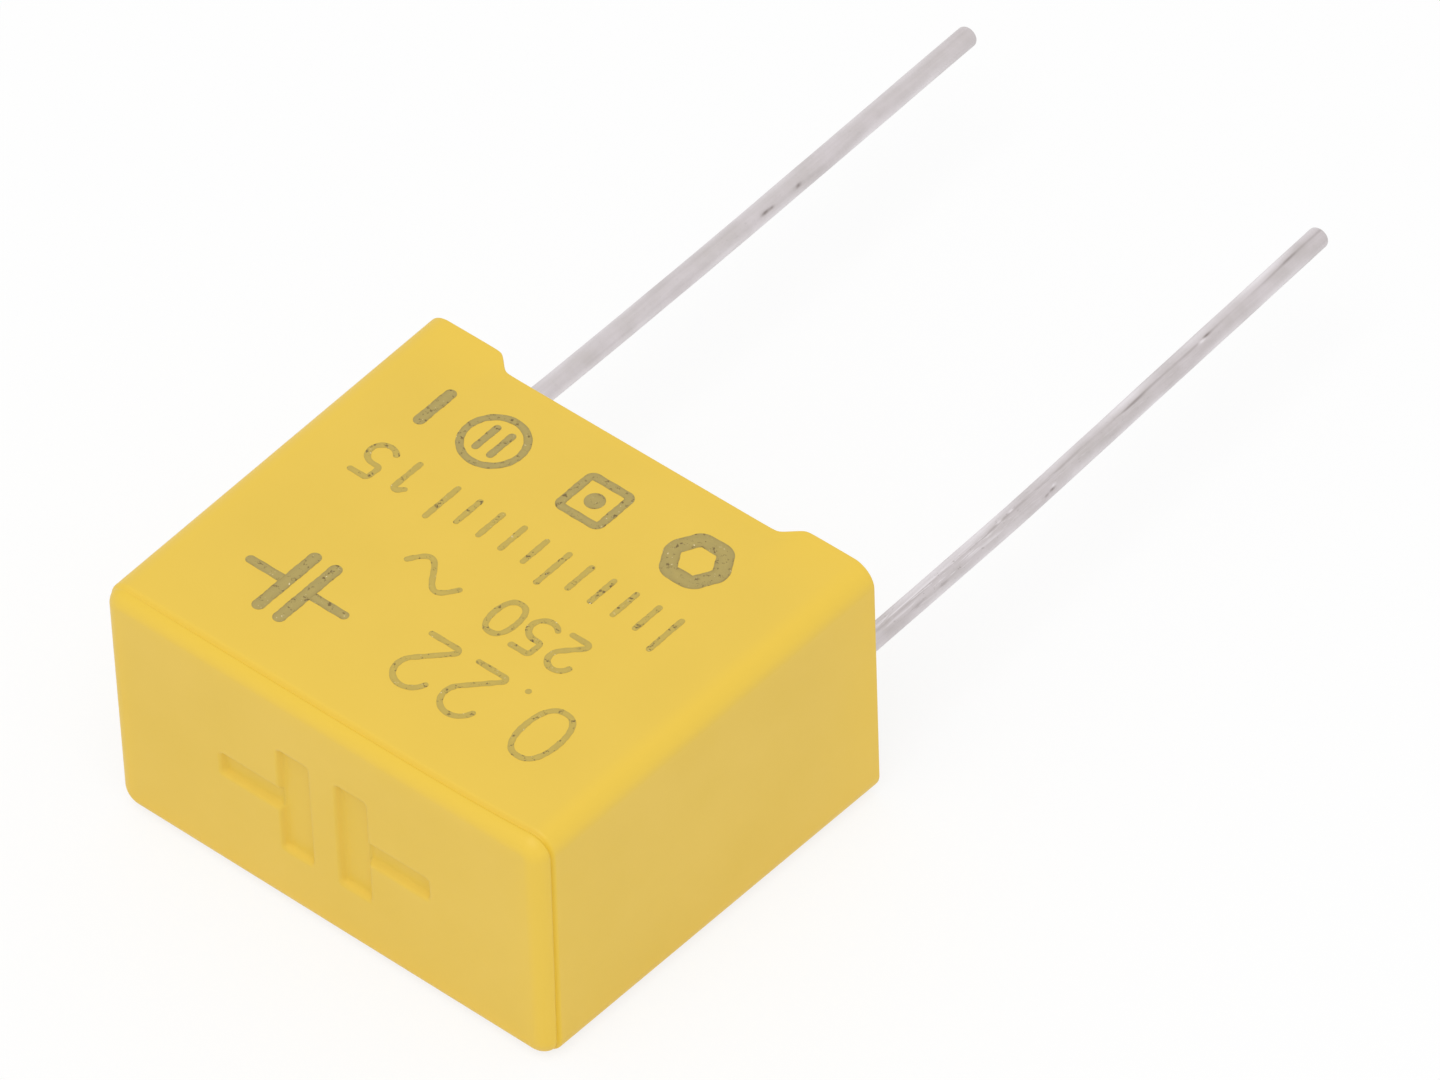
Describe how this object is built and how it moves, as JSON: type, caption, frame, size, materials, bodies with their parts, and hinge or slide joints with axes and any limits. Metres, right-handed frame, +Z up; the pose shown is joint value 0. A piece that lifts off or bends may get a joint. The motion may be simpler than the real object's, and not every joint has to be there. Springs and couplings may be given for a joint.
{
  "type": "film capacitor",
  "caption": "Box-type film capacitor: drafted moulded case with end feet, film winding potted in resin, and radial wire leads for a circuit board.",
  "frame": {"origin": "centre of the broad wall that the case lies on", "axes": "+X along the lead pitch, +Y out along the leads, +Z up through the thickness of the case"},
  "size_m": [0.018, 0.0396, 0.0097],
  "materials": {
    "case_plastic": "satin moulded",
    "resin": "cast",
    "film": "metallised film",
    "metal_spray": "sprayed metal",
    "lead_wire": "tinned"
  },
  "bodies": {
    "root": {"case": "case_plastic", "potting_resin": "resin", "film_winding": "film", "end_spray_left": "metal_spray", "end_spray_right": "metal_spray", "lead_left": "lead_wire", "lead_right": "lead_wire"}
  },
  "joints": []
}
